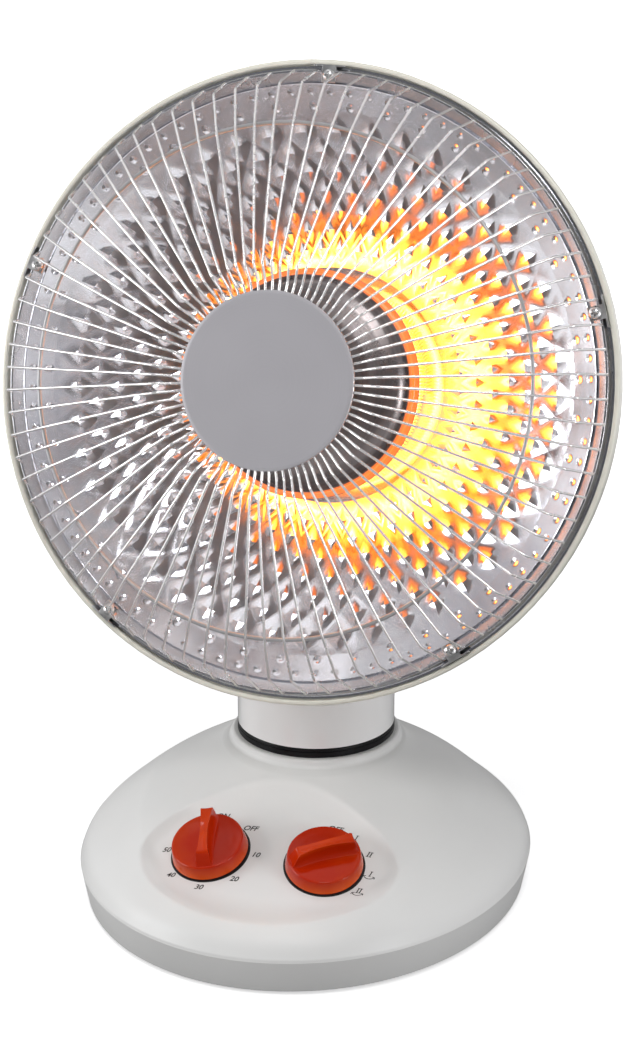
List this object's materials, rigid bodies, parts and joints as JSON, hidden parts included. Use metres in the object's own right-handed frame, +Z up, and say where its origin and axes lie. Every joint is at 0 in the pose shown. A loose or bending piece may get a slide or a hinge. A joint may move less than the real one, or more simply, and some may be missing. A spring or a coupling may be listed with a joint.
{
  "type": "dish heater",
  "caption": "Free-standing electric dish heater with a domed wire guard, faceted reflector, swinging tilting head and an oval base with timer and mode dials.",
  "frame": {"origin": "on the floor, under the middle of the base's oval footprint", "axes": "+Z up, -Y to the front where the dish and the dials face, +X to the right as seen from the front"},
  "size_m": [0.3195, 0.2697, 0.4246],
  "materials": {
    "housing_white": "satin moulded",
    "neck_white": "glossy moulded",
    "shell_cream": "smooth satin enamel",
    "seal_black": "satin black",
    "dial_orange": "glossy moulded",
    "reflector_polished": "bright anodised, pressed facets",
    "band_polished": "bright",
    "clamp_steel": "zinc plated",
    "guard_chrome": "chromed wire",
    "disc_silver": "satin lacquer",
    "element_ceramic": "unglazed, heated",
    "element_wire": "oxidised resistance wire, glowing",
    "cap_dark": "spun, heat darkened",
    "steel_zinc": "zinc plated",
    "rubber_black": "matte",
    "plate_dark": "matte moulded",
    "ballast_iron": "rough",
    "inner_plastic": "nylon",
    "switch_plastic": "phenolic",
    "terminal_brass": "plain"
  },
  "bodies": {
    "base": {"base_cover": "housing_white", "base_plate": "plate_dark", "rubber_feet": "rubber_black", "plate_screws": "steel_zinc", "ballast_plate": "ballast_iron", "seal_ring": "seal_black", "neck_bush": "inner_plastic", "swing_motor": "steel_zinc", "motor_bridge": "steel_zinc", "timer_body": "switch_plastic", "mode_switch_body": "switch_plastic", "tip_switch_body": "switch_plastic", "inlet_bush": "seal_black", "terminal_block": "inner_plastic"},
    "neck": {"drive_arm": "steel_zinc", "neck_tube": "steel_zinc", "thrust_washer": "inner_plastic", "retaining_clip": "steel_zinc", "neck_column": "neck_white", "tilt_bolt": "steel_zinc", "tilt_nut": "steel_zinc", "friction_washers": "inner_plastic"},
    "head": {"tilt_lug": "shell_cream", "rear_shell": "shell_cream", "reflector": "reflector_polished", "rim_band": "band_polished", "rim_clamps": "clamp_steel", "rim_screws": "clamp_steel", "guard_wires": "guard_chrome", "guard_ring": "guard_chrome", "centre_disc": "disc_silver", "disc_back_plate": "steel_zinc", "disc_rivets": "steel_zinc", "element_core": "element_ceramic", "heating_coil": "element_wire", "element_cap": "cap_dark", "element_stud": "steel_zinc", "cap_nut": "steel_zinc", "element_holder": "element_ceramic", "terminal_strap": "steel_zinc", "lock_nut": "steel_zinc", "thermal_cutout": "switch_plastic", "element_terminals": "terminal_brass"},
    "timer_control": {"timer_dial": "dial_orange", "timer_shaft": "steel_zinc"},
    "mode_control": {"mode_dial": "dial_orange", "mode_shaft": "steel_zinc"},
    "crank": {"crank_disc": "inner_plastic"},
    "tip_plunger": {"tip_plunger": "inner_plastic"}
  },
  "joints": [
    {"name": "neck_swivel", "type": "hinge", "parent": "base", "child": "neck", "pos_m": [0, 0.0195, 0.08], "axis": [0, 0, 1], "range_deg": [-27, 33]},
    {"name": "head_tilt", "type": "hinge", "parent": "neck", "child": "head", "pos_m": [0.00089, 0.03647, 0.1365], "axis": [0.9986, -0.0523, 0], "range_deg": [-10, 10]},
    {"name": "timer_turn", "type": "hinge", "parent": "base", "child": "timer_control", "pos_m": [-0.0294, -0.07697, 0.04676], "axis": [0.0919, 0.3971, -0.9132], "range_deg": [0, 325]},
    {"name": "mode_turn", "type": "hinge", "parent": "base", "child": "mode_control", "pos_m": [0.0294, -0.07697, 0.04676], "axis": [-0.0919, 0.3971, -0.9132], "range_deg": [-60, 60]},
    {"name": "crank_turn", "type": "hinge", "parent": "base", "child": "crank", "pos_m": [0, 0.0475, 0.057], "axis": [0, 0, 1], "range_deg": [-110, 134]},
    {"name": "tip_plunger_slide", "type": "slide", "parent": "base", "child": "tip_plunger", "axis": [0, 0, -1], "range_m": [0, 0.006], "stiffness_N_per_m": 60, "springref_m": 0.01}
  ],
  "couplings": [
    {"joint": "crank_turn", "follows": "neck_swivel", "ratio": 4}
  ]
}
